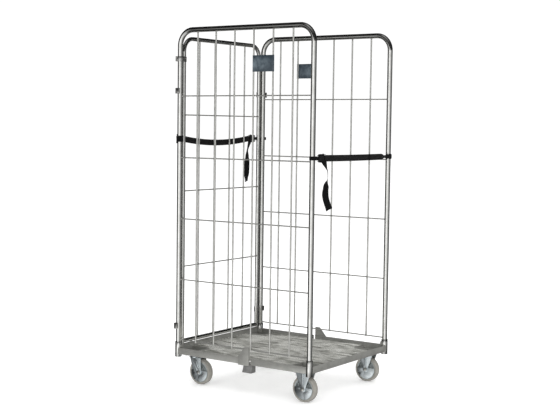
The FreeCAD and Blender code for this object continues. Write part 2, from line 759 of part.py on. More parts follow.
def rear_webbing(z, mouth_x):
    """A closed ring round the left rear post, in short lengths end to end, and the run that sags from it."""
    half = STRAP_W / 2
    low = V(-POST_X, POST_Y, z - half)
    high = V(-POST_X, POST_Y, z + half)
    inner = POST_R + RING_FIT
    core = rod(low, high, inner + STRAP_T)
    run = half_turn(strap_run(z, -mouth_x, POST_X - 2, STRAP_SAG))
    inside = half_turn(strap_run(z, -mouth_x - BUCKLE_GRIP, -mouth_x, 0))
    ring = core.cut(rod(low, high, inner))
    turn = 2 * math.pi / RING_LENGTHS
    lengths = []
    for step in range(RING_LENGTHS):
        corners = [low]
        for angle in (step * turn, (step + 1) * turn):
            corners.append(low + V(2 * inner * math.cos(angle), 2 * inner * math.sin(angle), 0))
        lengths.append(ring.common(prism(corners, high - low)))
    return lengths + [run.fuse(inside).cut(core)]


def buckle_frame(z):
    """Cam buckle: back plate, two ears, the loop bar and the cam's pin."""
    half = BUCKLE_H / 2
    inner = half - BUCKLE_T
    back_y = BUCKLE_BACK - BUCKLE_T
    back = box(BUCKLE_X0 + 10, BUCKLE_X1, back_y, BUCKLE_BACK, z - half, z + half)
    top = box(BUCKLE_X0, BUCKLE_X1, BUCKLE_OUT, back_y, z + inner, z + half)
    bottom = box(BUCKLE_X0, BUCKLE_X1, BUCKLE_OUT, back_y, z - half, z - inner)
    bar = rod(V(LOOP_BAR_X, BAR_Y, z - half), V(LOOP_BAR_X, BAR_Y, z + half), LOOP_BAR_R)
    pin = rod(V(PIN_X, PIN_Y, z - half - 2), V(PIN_X, PIN_Y, z + half + 2), PIN_R)
    return back.fuse([top, bottom, bar, pin]).removeSplitter()


def buckle_lever(z):
    """Cam lever on the pin, its handle lying over the buckle."""
    half = BUCKLE_H / 2 - BUCKLE_T - 0.4
    low = V(PIN_X, PIN_Y, z - half)
    high = V(PIN_X, PIN_Y, z + half)
    cam = rod(low, high, CAM_R)
    handle = box(PIN_X - 33, PIN_X, LEVER_OUT, PIN_Y - 3.2, z - half, z + half)
    lip = box(PIN_X - 35, PIN_X - 31, LEVER_OUT, LEVER_OUT + 3.4, z - half, z + half)
    lever = cam.fuse([handle, lip]).removeSplitter()
    return lever.cut(rod(low, high, PIN_R + AXLE_FIT))


def quarter_hook(z, shank_x):
    """Open hook behind the right front post and round its outer side, with a flat shank."""
    inner = POST_R + HOOK_FIT
    outer = inner + END_HOOK_T
    low = V(POST_X, -POST_Y, z - 8)
    high = V(POST_X, -POST_Y, z + 8)
    ring = rod(low, high, outer).cut(rod(low, high, inner))
    quarter = ring.common(box(POST_X, POST_X + 40, -POST_Y - 40, -POST_Y, z - 8, z + 8))
    leg = box(POST_X + inner, POST_X + outer, -POST_Y, -POST_Y + HOOK_LEG, z - 8, z + 8)
    shank = box(shank_x, POST_X, -POST_Y - outer, -POST_Y - inner, z - 8, z + 8)
    return shank.fuse([quarter, leg]).removeSplitter()


def strap_hook(z):
    """The front strap's end hook, with the eye that the webbing is sewn to."""
    eye_x = POST_X - SHANK_L
    outer = POST_R + HOOK_FIT + END_HOOK_T
    eye = box(eye_x - EYE_L, eye_x, -POST_Y - outer, RUN_Y + 2, z - 18, z + 18)
    return quarter_hook(z, eye_x).fuse(eye).removeSplitter()


def rear_post_hook(z):
    """The rear strap's open hook, held by the loop bar of its buckle."""
    end_x = -(BUCKLE_X0 - REAR_BUCKLE_SHIFT)
    bar_x = -(LOOP_BAR_X - REAR_BUCKLE_SHIFT)
    hook = quarter_hook(z, end_x - 1)
    hook = hook.mirror(V(0, 0, 0), V(0, 1, 0))
    eye = box(bar_x - 4.5, end_x, -BAR_Y - 4.4, -BAR_Y + 3.4, z - 8, z + 8)
    bar = rod(V(bar_x, -BAR_Y, z - 9), V(bar_x, -BAR_Y, z + 9), LOOP_BAR_R + 0.05)
    return hook.fuse(eye).removeSplitter().cut(bar)


# Free webbing tails: the middle line in the YZ plane, first at the buckle and down to the end.
FRONT_TAIL = [(-404.6, 1140.0), (-407.6, 1092.0), (-404.9, 1044.0), (-408.5, 996.0), (-405.5, 948.0),
              (-408.7, 900.0)]
REAR_TAIL = [(404.6, 1211.0), (407.6, 1166.0), (404.9, 1121.0), (408.3, 1076.0), (405.7, 1031.0),
             (408.5, 986.0)]
TAIL_X = BUCKLE_X1 + STRAP_W / 2 + 1.5


def tail_path(points):
    """Straight runs joined by tangent arcs through the route's corners."""
    route = [V(0, y, z) for y, z in points]
    edges = []
    start = route[0]
    for before, corner, after in zip(route, route[1:], route[2:]):
        back = before - corner
        ahead = after - corner
        turn = math.pi - back.getAngle(ahead)
        trim = 0.45 * min(back.Length, ahead.Length)
        radius = trim / math.tan(turn / 2)
        print("tail arc radius", round(radius, 1))
        back.normalize()
        ahead.normalize()
        enter = corner + back * trim
        leave = corner + ahead * trim
        inward = back + ahead
        inward.normalize()
        bulge = radius / math.cos(turn / 2) - radius
        edges.append(Part.LineSegment(start, enter).toShape())
        edges.append(Part.Arc(enter, corner + inward * bulge, leave).toShape())
        start = leave
    edges.append(Part.LineSegment(start, route[-1]).toShape())
    return Part.Wire(edges)


def webbing_tail(points, x_middle):
    """A flat band hanging along the route, its width along X."""
    path = tail_path(points)
    y, z = points[0]
    half_t = STRAP_T / 2
    x0 = -STRAP_W / 2
    section = Part.makePolygon([V(x0, y - half_t, z), V(-x0, y - half_t, z), V(-x0, y + half_t, z),
                                V(x0, y + half_t, z), V(x0, y - half_t, z)])
    tail = path.makePipeShell([section], True, False)
    plain = path.Length * STRAP_W * STRAP_T
    print("tail length", round(path.Length, 1), "volume ratio", round(tail.Volume / plain, 3))
    tail.translate(V(x_middle, 0, 0))
    return tail


def front_strap():
    z = STRAP_FRONT_Z
    run = strap_run(z, BUCKLE_X1 - BUCKLE_GRIP, POST_X - SHANK_L - EYE_L, 0)
    return {
        "webbing": [strap_loop(z), run],
        "buckle": buckle_frame(z),
        "lever": buckle_lever(z),
        "hook": strap_hook(z),
        "tail": webbing_tail(FRONT_TAIL, TAIL_X),
    }


def rear_strap():
    """Behind the gate: ringed on the left rear post, buckled and hooked at the right rear post."""
    z = STRAP_REAR_Z
    buckle_x1 = -(BUCKLE_X1 - REAR_BUCKLE_SHIFT)
    return {
        "webbing": rear_webbing(z, buckle_x1),
        "buckle": placed(half_turn(buckle_frame(z)), REAR_BUCKLE_SHIFT, 0),
        "lever": placed(half_turn(buckle_lever(z)), REAR_BUCKLE_SHIFT, 0),
        "hook": rear_post_hook(z),
        "tail": webbing_tail(REAR_TAIL, buckle_x1 - STRAP_W / 2 - 1.5),
    }


def build_base():
    cores = socket_cores()
    save("rail_front", end_rail(FRONT).cut(cores))
    save("rail_rear", end_rail(REAR).cut(cores))
    left = split_rail(SLOT_Y)
    right = [half_turn(half) for half in split_rail(SLOT_Y - RIGHT_SHIFT)]
    save("side_rails", [half.cut(cores) for half in left + right])
    save("corner_sockets", at_corners(corner_socket))
    save("socket_stops", at_corners(socket_stop))
    save("socket_gussets", [web.cut(cores) for web in at_corners(socket_gusset)])
    save("corner_pans", at_corners(corner_pan))
    save("deck_wires_across", deck_wires_across())
    save("deck_wires_along", deck_wires_along())
    save("deck_bearers", deck_bearers())
    save("stacking_tongue_left", left_tongue(TONGUE_TOP))
    save("stacking_tongue_right", placed(half_turn(left_tongue(RIGHT_TONGUE_TOP)), 0, RIGHT_SHIFT))
    save("stacking_pocket_left", left_pocket())
    save("stacking_pocket_right", placed(half_turn(left_pocket()), 0, RIGHT_SHIFT))
    save("castor_plate_fasteners", castor_bolts() + castor_nuts())


def build_castors():
    pins = []
    plates = []
    front_forks = []
    front_axles = []
    front_guards = []
    for side_name, sx in (("left", LEFT), ("right", RIGHT)):
        x = sx * CASTOR_X
        front_forks.append(placed(rigid_fork(), x, -CASTOR_Y))
        front_axles += placed(axle_bolt(0.0), x, -CASTOR_Y)
        front_guards += placed(wheel_guards(0.0), x, -CASTOR_Y)
        plates.append(placed(swivel_plate(), x, CASTOR_Y))
        pins.append(placed(kingpin(), x, CASTOR_Y))
        save("race_balls_" + side_name, placed(race_balls(), x, CASTOR_Y))
        save("swivel_fork_" + side_name, placed(swivel_fork(), x, CASTOR_Y))
        save("axle_rear_" + side_name, placed(axle_bolt(-TRAIL), x, CASTOR_Y))
        save("wheel_guards_rear_" + side_name, placed(wheel_guards(-TRAIL), x, CASTOR_Y))
        for end_name, y in (("front", -CASTOR_Y), ("rear", CASTOR_Y - TRAIL)):
            save("wheel_tread_%s_%s" % (end_name, side_name), placed(wheel_tread(), x, y, AXLE_Z))
            save("wheel_core_%s_%s" % (end_name, side_name), placed(wheel_core(), x, y, AXLE_Z))
    save("rigid_forks", front_forks)
    save("axles_front", front_axles)
    save("wheel_guards_front", front_guards)
    save("swivel_plates", plates)
    save("kingpins", pins)


def build_side_frames():
    solid = side_arch(POST_R)
    pieces = {
        "side_tube": [solid.cut(side_arch(POST_R - POST_WALL))],
        "side_uprights": side_uprights(solid),
        "side_cross_wires": side_cross_wires(solid),
        "label_plate": [label_plate()],
    }
    for name, shapes in pieces.items():
        save(name + "_left", shapes)
        save(name + "_right", [half_turn(shape) for shape in shapes])


def build_gate():
    solid = gate_arch(GATE_R)
    save("gate_tube", solid.cut(gate_arch(GATE_R - GATE_WALL)))
    save("gate_bottom_tube", gate_bottom_tube(solid))
    save("gate_uprights", gate_uprights(solid))
    save("gate_cross_wires", gate_cross_wires(solid))
    save("gate_hooks", gate_hooks())
    save("gate_hinge_clip", hinge_clip())


def build_straps():
    for place, pieces in (("front", front_strap()), ("rear", rear_strap())):
        for name, shape in pieces.items():
            save("%s_strap_%s" % (place, name), shape)


os.makedirs("parts", exist_ok=True)
build_base()
build_castors()
build_side_frames()
build_gate()
build_straps()
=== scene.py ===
"""Looks of the roll cage container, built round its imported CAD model. Metres, +Z up, front at -Y."""

import json
import math
import random

import bmesh
import bpy
from mathutils import Matrix, Vector


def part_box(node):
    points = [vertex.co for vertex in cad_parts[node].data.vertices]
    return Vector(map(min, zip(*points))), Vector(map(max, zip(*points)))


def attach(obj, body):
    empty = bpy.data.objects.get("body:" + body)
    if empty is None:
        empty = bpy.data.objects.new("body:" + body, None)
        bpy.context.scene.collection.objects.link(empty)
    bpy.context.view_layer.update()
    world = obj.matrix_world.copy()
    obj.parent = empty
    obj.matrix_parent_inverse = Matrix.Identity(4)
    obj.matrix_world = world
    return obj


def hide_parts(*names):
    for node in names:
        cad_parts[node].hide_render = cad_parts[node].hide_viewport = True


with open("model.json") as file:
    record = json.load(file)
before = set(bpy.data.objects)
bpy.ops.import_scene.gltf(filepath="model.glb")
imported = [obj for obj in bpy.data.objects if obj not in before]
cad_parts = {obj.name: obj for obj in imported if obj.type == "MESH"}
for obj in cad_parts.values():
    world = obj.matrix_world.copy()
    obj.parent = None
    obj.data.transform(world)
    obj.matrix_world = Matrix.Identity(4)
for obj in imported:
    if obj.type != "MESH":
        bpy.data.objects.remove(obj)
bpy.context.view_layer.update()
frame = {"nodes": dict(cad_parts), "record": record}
MM = 0.001
SIDES = (("left", -1), ("right", 1))
SLOT_OF = {part["node"]: part["material_slot"] for part in frame["record"]["subparts"]}
BODY_OF = {node: body for body, nodes in frame["record"]["behaviour"]["bodies"].items() for node in nodes}
random.seed(12)


# ---- places, read from the frame ----
def centre_of(node):
    low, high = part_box(node)
    return (Vector(low) + Vector(high)) / 2


def size_of(node):
    low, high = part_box(node)
    return Vector(high) - Vector(low)


TUBE_R = size_of("side_tube_right").x / 2
POST_X = centre_of("side_tube_right").x
POST_Y = size_of("side_tube_right").y / 2 - TUBE_R
TOP_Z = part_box("side_tube_right")[1][2] - TUBE_R
SOCKET_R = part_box("corner_sockets")[1][0] - POST_X
RAIL_LOW, RAIL_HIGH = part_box("rail_front")
RAIL_BOTTOM, RAIL_TOP = RAIL_LOW[2], RAIL_HIGH[2]
CROSS_R = size_of("side_cross_wires_left").x / 2
UPRIGHT_R = size_of("side_uprights_left").x / 2
UPRIGHT_COUNT = 6
CROSS_COUNT = 5
GATE_R = size_of("gate_bottom_tube").z / 2
GATE_Y = centre_of("gate_bottom_tube").y
GATE_BOTTOM_Z = centre_of("gate_bottom_tube").z
GATE_X = size_of("gate_tube").x / 2 - GATE_R
GATE_TOP_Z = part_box("gate_tube")[1][2] - GATE_R
GATE_UPRIGHT_COUNT = 4
GATE_CROSS_COUNT = 3


# ---- materials ----
class Shader:
    """A procedural material: a Principled shader and the textures that feed it."""

    def __init__(self, name, **constants):
        self.material = bpy.data.materials.new(name)
        self.material.use_nodes = True
        self.nodes = self.material.node_tree.nodes
        self.links = self.material.node_tree.links
        self.surface = self.nodes["Principled BSDF"]
        for socket, value in constants.items():
            self.surface.inputs[socket.replace("_", " ")].default_value = value
        self.place = self.nodes.new("ShaderNodeTexCoord").outputs["Object"]
        self.height = None

    def stretched(self, scale):
        mapping = self.nodes.new("ShaderNodeMapping")
        mapping.inputs["Scale"].default_value = scale
        self.links.new(self.place, mapping.inputs["Vector"])
        return mapping.outputs["Vector"]

    def noise(self, scale, detail=4.0, roughness=0.55, stretch=(1, 1, 1)):
        texture = self.nodes.new("ShaderNodeTexNoise")
        texture.inputs["Scale"].default_value = scale
        texture.inputs["Detail"].default_value = detail
        texture.inputs["Roughness"].default_value = roughness
        self.links.new(self.stretched(stretch), texture.inputs["Vector"])
        return texture.outputs["Fac"]

    def cells(self, scale, output="Color"):
        texture = self.nodes.new("ShaderNodeTexVoronoi")
        texture.inputs["Scale"].default_value = scale
        self.links.new(self.place, texture.inputs["Vector"])
        return texture.outputs[output]

    def waves(self, scale, direction, distortion=0.0, stretch=(1, 1, 1)):
        texture = self.nodes.new("ShaderNodeTexWave")
        texture.bands_direction = direction
        texture.inputs["Scale"].default_value = scale
        texture.inputs["Distortion"].default_value = distortion
        self.links.new(self.stretched(stretch), texture.inputs["Vector"])
        return texture.outputs["Fac"]

    def ranged(self, value, low, high, start=0.3, end=0.7):
        node = self.nodes.new("ShaderNodeMapRange")
        node.inputs["From Min"].default_value = start
        node.inputs["From Max"].default_value = end
        node.inputs["To Min"].default_value = low
        node.inputs["To Max"].default_value = high
        self.links.new(value, node.inputs["Value"])
        return node.outputs["Result"]

    def product(self, first, second):
        node = self.nodes.new("ShaderNodeMath")
        node.operation = "MULTIPLY"
        self.links.new(first, node.inputs[0])
        self.links.new(second, node.inputs[1])
        return node.outputs["Value"]

    def blend(self, factor, first, second):
        """Mixes two colours, each a tuple or a socket."""
        node = self.nodes.new("ShaderNodeMix")
        node.data_type = "RGBA"
        self.links.new(factor, node.inputs["Factor"])
        ends = [s for s in node.inputs if s.type == "RGBA"]
        for socket, colour in zip(ends, (first, second)):
            if isinstance(colour, tuple):
                socket.default_value = colour + (1.0,)
            else:
                self.links.new(colour, socket)
        return [s for s in node.outputs if s.type == "RGBA"][0]

    def colour(self, socket):
        self.links.new(socket, self.surface.inputs["Base Color"])

    def roughness(self, socket):
        self.links.new(socket, self.surface.inputs["Roughness"])

    def bump(self, value, distance, strength=1.0):
        """Adds a layer of relief on top of those already there."""
        node = self.nodes.new("ShaderNodeBump")
        node.inputs["Strength"].default_value = strength
        node.inputs["Distance"].default_value = distance
        self.links.new(value, node.inputs["Height"])
        if self.height is not None:
            self.links.new(self.height, node.inputs["Normal"])
        self.height = node.outputs["Normal"]
        self.links.new(self.height, self.surface.inputs["Normal"])


def plated_steel(name, bright, dull, rough, blotch=35.0, grain=(400, 400, 12), relief=0.02, metallic=1.0,
                 spread=(0.0, 0.7), stretch=(1, 1, 1)):
    """Zinc plate: a slow blotch of brightness, drawing lines and fine scuffs.

    spread is the share of the dull colour in the brightest and the dullest patches, and stretch draws the
    patches out along an axis where it is small; the deck's wires use both for streaks of painted highlight
    and shade.
    """
    shade = Shader(name, Metallic=metallic)
    cloud = shade.noise(blotch, 5.0, 0.6, stretch=stretch)
    lines = shade.noise(1.0, 3.0, 0.6, stretch=grain)
    specks = shade.noise(900.0, 2.0)
    colour = shade.blend(shade.ranged(cloud, spread[0], spread[1], 0.38, 0.64), bright, dull)
    shade.colour(shade.blend(shade.ranged(specks, 0.0, 0.35, 0.6, 0.85), colour, dull))
    mixed = shade.product(shade.ranged(cloud, rough[0], rough[1]), shade.ranged(lines, 0.85, 1.2))
    shade.roughness(mixed)
    shade.bump(lines, relief * MM)
    shade.bump(specks, 0.01 * MM, 0.3)
    return shade.material


def galvanised_steel(name, light, dark, grime, rough, spangle=160.0, metallic=0.8):
    """Dull zinc with crystals, cloudy wear and grime that gathers in blotches."""
    shade = Shader(name, Metallic=metallic)
    cloud = shade.noise(22.0, 6.0, 0.62)
    crystals = shade.cells(spangle, "Distance")
    dirt = shade.noise(70.0, 8.0, 0.7)
    colour = shade.blend(shade.ranged(cloud, 0.0, 0.8), light, dark)
    colour = shade.blend(shade.ranged(crystals, 0.0, 0.25, 0.2, 0.8), colour, dark)
    shade.colour(shade.blend(shade.ranged(dirt, 0.0, 0.6, 0.58, 0.76), colour, grime))
    shade.roughness(shade.ranged(cloud, rough[0], rough[1]))
    shade.bump(crystals, 0.03 * MM, 0.4)
    shade.bump(dirt, 0.08 * MM, 0.4)
    return shade.material


def moulding(name, light, dark, rough, relief=0.06, speckle=500.0, specular=0.4):
    """Plastic or rubber: even colour with a little mottling and a moulded grain."""
    shade = Shader(name, Specular_IOR_Level=specular)
    cloud = shade.noise(60.0, 4.0)
    grain = shade.noise(speckle, 3.0, 0.6)
    shade.colour(shade.blend(shade.ranged(cloud, 0.0, 1.0), light, dark))
    shade.roughness(shade.ranged(grain, rough[0], rough[1]))
    shade.bump(grain, relief * MM, 0.6)
    return shade.material


def painted(name, base, worn, rough, wear=0.62):
    shade = Shader(name, Specular_IOR_Level=0.5, Coat_Weight=0.15)
    cloud = shade.noise(45.0, 6.0, 0.65)
    chips = shade.noise(240.0, 5.0, 0.7)
    colour = shade.blend(shade.ranged(cloud, 0.0, 0.7, 0.35, 0.75), base, worn)
    shade.colour(shade.blend(shade.ranged(chips, 0.0, 0.6, wear, wear + 0.1), colour, worn))
    shade.roughness(shade.ranged(cloud, rough[0], rough[1]))
    shade.bump(chips, 0.05 * MM, 0.5)
    return shade.material


def plate_finish(name):
    """Dark blue-grey lacquer, with a pale cloudy patch of painted sheen in the middle of each plate."""
    shade = Shader(name, Specular_IOR_Level=0.5, Coat_Weight=0.15)
    low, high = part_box("label_plate_left")
    middle = [(a + b) / 2 for a, b in zip(low, high)]
    mapping = shade.nodes.new("ShaderNodeMapping")
    mapping.vector_type = "TEXTURE"
    mapping.inputs["Location"].default_value = (0.0, 0.0, middle[2])
    mapping.inputs["Scale"].default_value = (10.0, high[1] - low[1], high[2] - low[2])
    shade.links.new(shade.place, mapping.inputs["Vector"])
    rings = shade.nodes.new("ShaderNodeVectorMath")
    rings.operation = "ABSOLUTE"
    shade.links.new(mapping.outputs["Vector"], rings.inputs[0])
    parts = shade.nodes.new("ShaderNodeSeparateXYZ")
    shade.links.new(rings.outputs["Vector"], parts.inputs["Vector"])
    across = shade.ranged(parts.outputs["Y"], 1.0, 0.0, 0.65, 1.45)
    tall = shade.ranged(parts.outputs["Z"], 1.0, 0.0, 0.15, 0.48)
    cloud = shade.noise(42.0, 7.0, 0.7)
    # painted sheen: the colour turns pale blue-grey in a cloudy patch in the middle of the plate
    sheen_patch = shade.product(shade.product(across, tall), shade.ranged(cloud, 0.15, 1.0, 0.35, 0.62))
    base = shade.blend(shade.ranged(cloud, 0.0, 1.0), (0.020, 0.032, 0.044), (0.045, 0.062, 0.078))
    chips = shade.noise(240.0, 5.0, 0.7)
    colour = shade.blend(sheen_patch, base, (0.13, 0.165, 0.19))
    shade.colour(shade.blend(shade.ranged(chips, 0.0, 0.5, 0.66, 0.76), colour, (0.20, 0.22, 0.23)))
    shade.roughness(shade.ranged(cloud, 0.25, 0.50))
    shade.bump(chips, 0.05 * MM, 0.5)
    return shade.material


def webbing(name, across):
    """Black woven band. across is the axis that its ribs run along."""
    shade = Shader(name, Sheen_Weight=0.06, Sheen_Roughness=0.4, Specular_IOR_Level=0.12)
    ribs = shade.waves(260.0, across)
    twill = shade.waves(330.0, "DIAGONAL", 0.6)
    lint = shade.noise(160.0, 5.0, 0.7)
    dark, worn = (0.0030, 0.0030, 0.0033), (0.009, 0.009, 0.010)
    shade.colour(shade.blend(shade.ranged(lint, 0.0, 1.0, 0.4, 0.75), dark, worn))
    shade.roughness(shade.ranged(ribs, 0.62, 0.85, 0.0, 1.0))
    shade.bump(ribs, 0.25 * MM, 0.8)
    shade.bump(twill, 0.12 * MM, 0.6)
    return shade.material


MATERIALS = {
    "zinc_tube": plated_steel("zinc_tube", (0.84, 0.84, 0.82), (0.68, 0.68, 0.65), (0.09, 0.17)),
    "zinc_wire": plated_steel("zinc_wire", (0.74, 0.74, 0.71), (0.62, 0.62, 0.58), (0.30, 0.40), 60.0,
                              metallic=0.85),
    "zinc_strip": plated_steel("zinc_strip", (0.70, 0.70, 0.68), (0.52, 0.52, 0.50), (0.25, 0.42), 80.0),
    "base_steel": galvanised_steel("base_steel", (0.43, 0.43, 0.405), (0.30, 0.30, 0.28),
                                   (0.15, 0.147, 0.125), (0.28, 0.44), metallic=0.5),
    # The deck's streaks, from near white to dark grey, are painted highlights and painted shade.
    "deck_wire": plated_steel("deck_wire", (0.98, 0.98, 0.93), (0.26, 0.26, 0.23), (0.22, 0.36), 30.0,
                              metallic=0.45, spread=(0.0, 1.0), stretch=(1.6, 0.22, 1.6)),
    "pocket_steel": painted("pocket_steel", (0.13, 0.13, 0.13), (0.26, 0.26, 0.25), (0.40, 0.60)),
    "castor_steel": plated_steel("castor_steel", (0.80, 0.86, 0.88), (0.62, 0.68, 0.70), (0.24, 0.38), 50.0,
                                 (60, 60, 60)),
    "fastener_steel": plated_steel("fastener_steel", (0.76, 0.76, 0.73), (0.54, 0.54, 0.51), (0.25, 0.40)),
    "bearing_steel": plated_steel("bearing_steel", (0.80, 0.80, 0.80), (0.70, 0.70, 0.70), (0.08, 0.14)),
    "tread_grey": moulding("tread_grey", (0.33, 0.32, 0.29), (0.27, 0.26, 0.235), (0.50, 0.72)),
    "wheel_grey": moulding("wheel_grey", (0.36, 0.39, 0.39), (0.28, 0.31, 0.31), (0.35, 0.55)),
    "label_plate": plate_finish("label_plate"),
    "webbing_black": webbing("webbing_black", "X"),
    "buckle_black": painted("buckle_black", (0.004, 0.004, 0.0045), (0.015, 0.015, 0.016), (0.30, 0.48),
                            0.72),
}


def dress_cad_nodes():
    """Gives every CAD node the material of its slot in the record."""
    for node, finish in SLOT_OF.items():
        for slot in frame["nodes"][node].material_slots:
            slot.material = MATERIALS[finish]


# ---- building pieces ----
def piece(name, source, body, slot, replaces=()):
    """Makes one shown object from a bmesh and hangs it on its body."""
    mesh = bpy.data.meshes.new(name)
    source.to_mesh(mesh)
    source.free()
    thing = bpy.data.objects.new(name, mesh)
    bpy.context.scene.collection.objects.link(thing)
    for face in mesh.polygons:
        face.use_smooth = True
    mesh.materials.append(MATERIALS[slot])
    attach(thing, body)
    if replaces:
        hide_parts(*replaces)
    return thing


def rounded(node, width, sharp=32.0, reshape=None):
    """Stands in for a CAD node with the same shape, its edges rounded as pressed steel's are."""
    source = bmesh.new()
    source.from_mesh(frame["nodes"][node].data)
    bmesh.ops.remove_doubles(source, verts=source.verts, dist=0.002 * MM)
    bmesh.ops.dissolve_limit(source, angle_limit=math.radians(0.6), verts=source.verts, edges=source.edges)
    if reshape:
        reshape(source)
    thing = piece(node + "_look", source, BODY_OF[node], SLOT_OF[node], (node,))
    bevel = thing.modifiers.new("edges", "BEVEL")
    bevel.width = width
    bevel.segments = 2
    bevel.limit_method = "ANGLE"
    bevel.angle_limit = math.radians(sharp)
    bevel.harden_normals = True
    return thing


POST_END_DRAW = 0.36            # share of a buckle's height that its post end loses
FAR_END_DRAW = 0.06             # and that its other end loses
OUTLINE_CUTS = 10


def drawn_in(post_side, x0, x1, middle):
    """Draws a buckle's height in towards its post end, which gives it a rounded outline."""
    def reshape(source):
        for step in range(1, OUTLINE_CUTS):
            everything = source.verts[:] + source.edges[:] + source.faces[:]
            cut_x = x0 + (x1 - x0) * step / OUTLINE_CUTS
            bmesh.ops.bisect_plane(source, geom=everything, plane_co=(cut_x, 0, 0), plane_no=(1, 0, 0))
        for vertex in source.verts:
            share = post_side * (2 * vertex.co.x - x0 - x1) / (x1 - x0)
            share = max(-1.0, min(1.0, share))
            narrowing = POST_END_DRAW * share ** 2.5 if share > 0 else FAR_END_DRAW * share ** 2
            vertex.co.z = middle + (vertex.co.z - middle) * (1 - narrowing)
    return reshape


def ball(into, centre, radii, turn=None, fineness=2):
    """A small ellipsoid, for weld metal and stitches."""
    matrix = Matrix.Translation(centre)
    if turn is not None:
        matrix = matrix @ turn.to_4x4()
    matrix = matrix @ Matrix.Diagonal(Vector((*radii, 1.0)))
    bmesh.ops.create_icosphere(into, subdivisions=fineness, radius=1.0, matrix=matrix)


def weld_line(into, start, end, radius, spacing=1.9 * MM):
    """A fillet weld: overlapping ripples from start to end."""
    run = end - start
    count = max(2, int(run.length / spacing))
    turn = run.to_track_quat("Z", "Y").to_matrix()
    for step in range(count + 1):
        wobble = Vector([random.uniform(-0.12, 0.12) * radius for axis in range(3)])
        size = radius * random.uniform(0.9, 1.1)
        ball(into, start + run * (step / count) + wobble, (size, size, size * 0.75), turn)


def weld_ring(into, centre, axis, ring_radius, bead_radius, count):
    """A fillet weld round a wire or tube end."""
    turn = axis.to_track_quat("Z", "Y").to_matrix()
    for step in range(count):
        angle = 2 * math.pi * step / count
        spoke = turn @ Vector((math.cos(angle), math.sin(angle), 0))
        size = bead_radius * random.uniform(0.88, 1.12)
        ball(into, centre + spoke * ring_radius, (size, size, size))


def turned(into, centre, profile, steps=96):
    """Solid of revolution about an axle along X, from closed (x, radius) corners."""
    rings = []
    for step in range(steps):
        angle = 2 * math.pi * step / steps
        lean = Vector((0, math.cos(angle), math.sin(angle)))
        rings.append([into.verts.new(centre + Vector((x, 0, 0)) + lean * r) for x, r in profile])
    corners = len(profile)
    for step in range(steps):
        here, there = rings[step], rings[(step + 1) % steps]
        for corner in range(corners):
            ahead = (corner + 1) % corners
            into.faces.new((here[corner], here[ahead], there[ahead], there[corner]))


# ---- bands and rods swept along a line ----
def skin(into, rows, closed):
    """Faces between neighbouring rings of corners, with ends where the sweep is open."""
    corners = len(rows[0])
    for place in range(len(rows) if closed else len(rows) - 1):
        here, there = rows[place], rows[(place + 1) % len(rows)]
        for corner in range(corners):
            ahead = (corner + 1) % corners
            into.faces.new((here[corner], here[ahead], there[ahead], there[corner]))
    if not closed:
        into.faces.new(list(reversed(rows[0])))
        into.faces.new(rows[-1])


def sweep(into, line, across, outline, sizes, closed=False):
    """Pushes an outline of (width, thickness) corners along a line.

    across holds the direction of the width at each point, and sizes its half width and half thickness.
    """
    rows = []
    count = len(line)
    for place, point in enumerate(line):
        before = line[place - 1] if closed or place else point
        after = line[(place + 1) % count] if closed or place < count - 1 else point
        ahead = (after - before).normalized()
        side = (across[place] - ahead * across[place].dot(ahead)).normalized()
        out = ahead.cross(side)
        half_width, half_thickness = sizes[place]
        rows.append([into.verts.new(point + side * (u * half_width) + out * (v * half_thickness))
                     for u, v in outline])
    skin(into, rows, closed)


def both_faces(half):
    """A closed outline from its upper half."""
    return half + [(u, -v) for u, v in reversed(half)]


WEB_OUTLINE = both_faces([(-1.0, 0.45), (-0.94, 1.0), (-0.83, 1.0), (-0.78, 0.72), (0.0, 0.78),
                          (0.78, 0.72), (0.83, 1.0), (0.94, 1.0), (1.0, 0.45)])


def round_outline(corners=14):
    turn = 2 * math.pi / corners
    return [(math.cos(turn * step), math.sin(turn * step)) for step in range(corners)]


def webbing_band(into, line, across, width, thickness, closed=False, taper=None):
    """Flat webbing with thicker selvedges. taper gives a share of the width at each point."""
    shares = taper or [1.0] * len(line)
    sizes = [(width / 2 * share, thickness / 2) for share in shares]
    sweep(into, line, across, WEB_OUTLINE, sizes, closed)


def stitch_line(into, start, end, spacing=2.6 * MM):
    """A row of sewn thread, each stitch a small bead lying along the row."""
    run = end - start
    count = max(2, round(run.length / spacing))
    turn = run.to_track_quat("X", "Y").to_matrix()
    for step in range(count):
        ball(into, start + run * ((step + 0.5) / count), (1.0 * MM, 0.32 * MM, 0.32 * MM), turn, 1)


def box_stitch(into, low_x, high_x, y, middle_z, half_height):
    """The crossed square that closes a webbing loop, on the face at y."""
    corners = [Vector((x, y, middle_z + z)) for x in (low_x, high_x) for z in (-half_height, half_height)]
    for first, second in ((0, 1), (1, 3), (3, 2), (2, 0), (0, 3), (1, 2)):
        stitch_line(into, corners[first], corners[second])


def arc_points(centre, radius, start, end, steps, rise=None):
    """Points round an upright post; rise gives the height at a share of the way."""
    points = []
    for step in range(steps + 1):
        share = step / steps
        angle = math.radians(start + (end - start) * share)
        lift = rise(share) if rise else 0.0
        points.append(centre + Vector((radius * math.cos(angle), radius * math.sin(angle), lift)))
    return points


def ease(share):
    return share * share * (3 - 2 * share)


